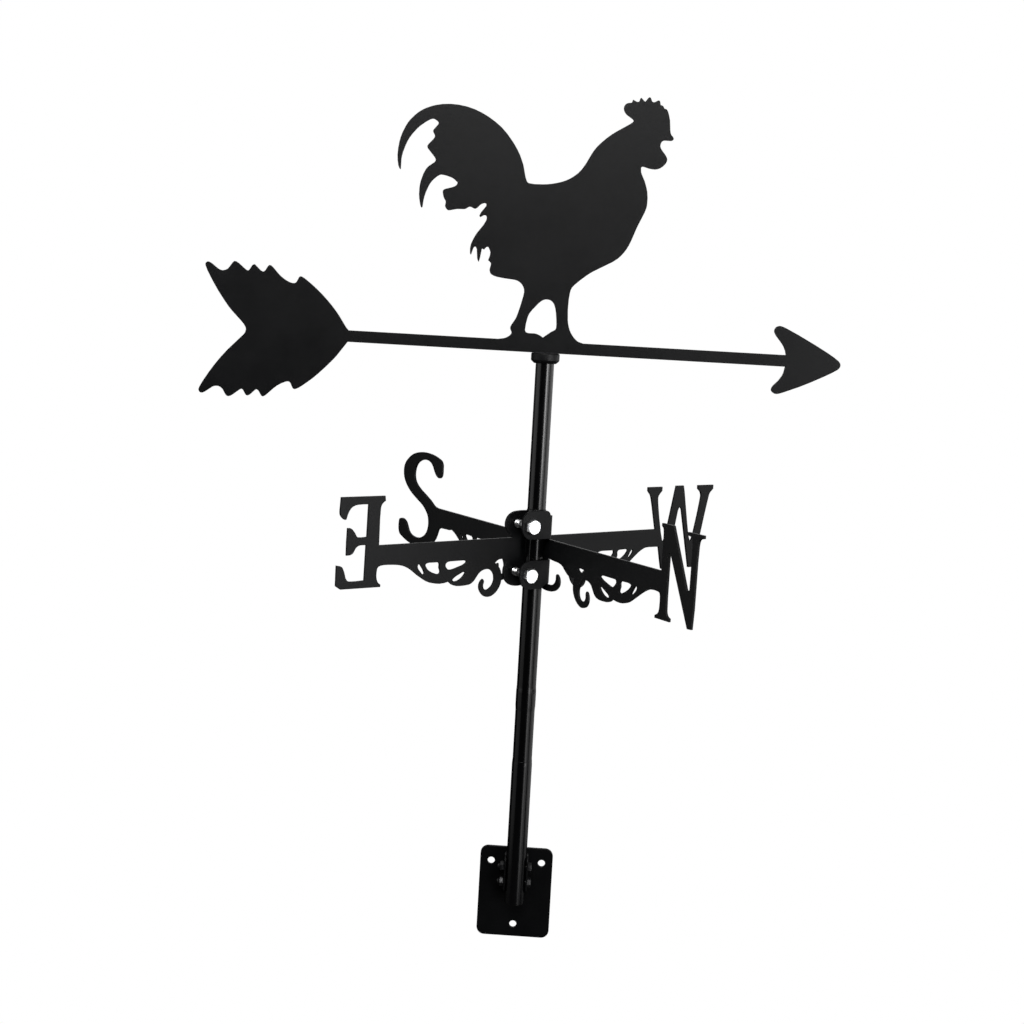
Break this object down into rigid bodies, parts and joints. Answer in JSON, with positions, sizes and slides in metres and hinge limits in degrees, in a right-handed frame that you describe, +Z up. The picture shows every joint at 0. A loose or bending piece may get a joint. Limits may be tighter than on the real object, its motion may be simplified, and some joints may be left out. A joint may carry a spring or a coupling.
{
  "type": "weather vane",
  "caption": "Wall-bracket weather vane: a rooster on an arrow turns over an upright tube, above crossed compass arms ending in letters and clamped to the tube by two bolts.",
  "frame": {"origin": "centre of the base plate's back face, the face that lies on the wall", "axes": "+Z up along the pole, +Y into the wall, +X to the right seen from the front, along the arrow at rest"},
  "size_m": [0.6046, 0.3947, 0.8119],
  "materials": {
    "satin_black_paint": "satin black powder coat on steel sheet",
    "gloss_black_tube": "glossy black enamel on round steel tube",
    "blackened_fastener": "black painted steel fasteners",
    "bright_zinc": "bright zinc plated steel fasteners",
    "plain_steel": "plain turned steel",
    "natural_nylon": "natural off-white nylon"
  },
  "bodies": {
    "root": {"upper_bush": "natural_nylon", "lower_bush": "natural_nylon", "thrust_ball": "plain_steel", "thrust_plug": "natural_nylon", "plug_pin": "plain_steel", "upper_tube": "gloss_black_tube", "middle_tube": "gloss_black_tube", "lower_tube": "gloss_black_tube", "joint_sleeve": "plain_steel", "joint_screw_upper": "blackened_fastener", "joint_screw_lower": "blackened_fastener", "base_plate": "satin_black_paint", "pole_bracket": "satin_black_paint", "bracket_bolt_upper": "blackened_fastener", "bracket_bolt_lower": "blackened_fastener", "bracket_nut_upper": "blackened_fastener", "bracket_nut_lower": "blackened_fastener"},
    "vane": {"vane_plate": "satin_black_paint", "vane_socket": "satin_black_paint", "vane_spindle": "plain_steel"},
    "compass": {"compass_plate_ew": "satin_black_paint", "compass_plate_ns": "satin_black_paint", "compass_bolt_upper": "bright_zinc", "compass_bolt_lower": "bright_zinc", "compass_nut_upper": "bright_zinc", "compass_nut_lower": "bright_zinc", "compass_washer_upper": "bright_zinc", "compass_washer_lower": "bright_zinc"}
  },
  "joints": [
    {"name": "vane_spin", "type": "hinge", "parent": "root", "child": "vane", "pos_m": [0, -0.015, 0.5], "axis": [0, 0, 1], "continuous": true},
    {"name": "compass_align", "type": "hinge", "parent": "root", "child": "compass", "pos_m": [0, -0.015, 0.34], "axis": [0, 0, 1], "continuous": true}
  ]
}
